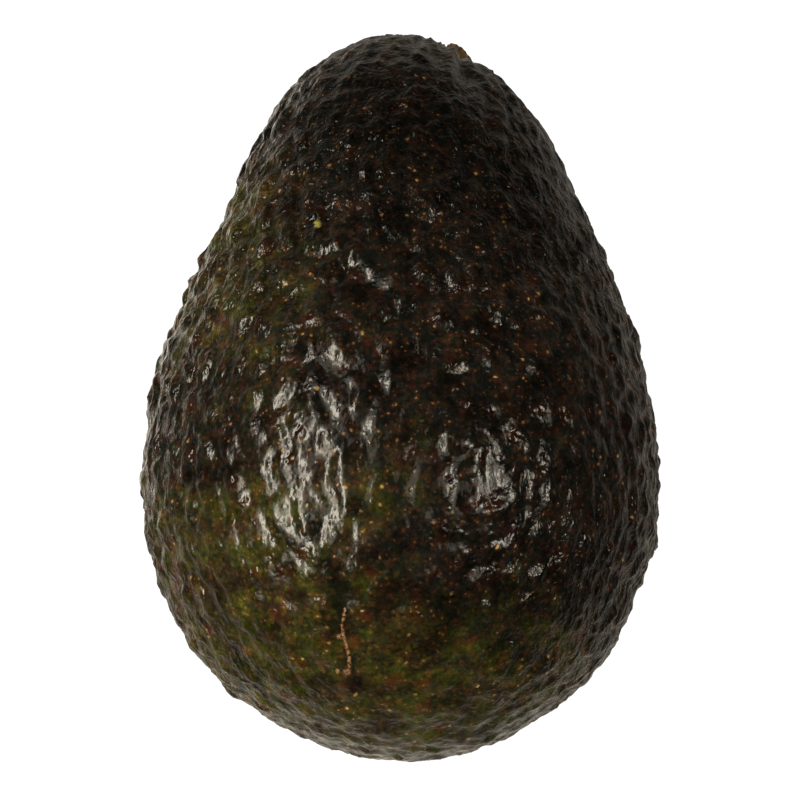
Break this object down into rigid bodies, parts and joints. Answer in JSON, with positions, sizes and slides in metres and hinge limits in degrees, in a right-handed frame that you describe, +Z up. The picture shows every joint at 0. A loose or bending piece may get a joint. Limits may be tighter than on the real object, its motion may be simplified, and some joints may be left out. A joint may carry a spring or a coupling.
{
  "type": "avocado",
  "caption": "Whole ripe avocado lying on its side: a pear-shaped fruit with dark pebbled skin, a dry stem button at the neck and a small blossom scar at the round end.",
  "frame": {"origin": "centre of the small flat resting spot on the underside, below the fruit's centre of mass", "axes": "+Z up from the surface it lies on, +Y along the fruit towards the neck and stem button, +X to the right seen from above with the neck pointing away"},
  "size_m": [0.0714, 0.1005, 0.0716],
  "materials": {
    "skin": "semi-gloss waxy pebbled fruit skin, dark brown-black with olive green patches",
    "stem": "dry matte woody stub"
  },
  "bodies": {
    "root": {"fruit": "skin", "stem_button": "stem"}
  },
  "joints": []
}
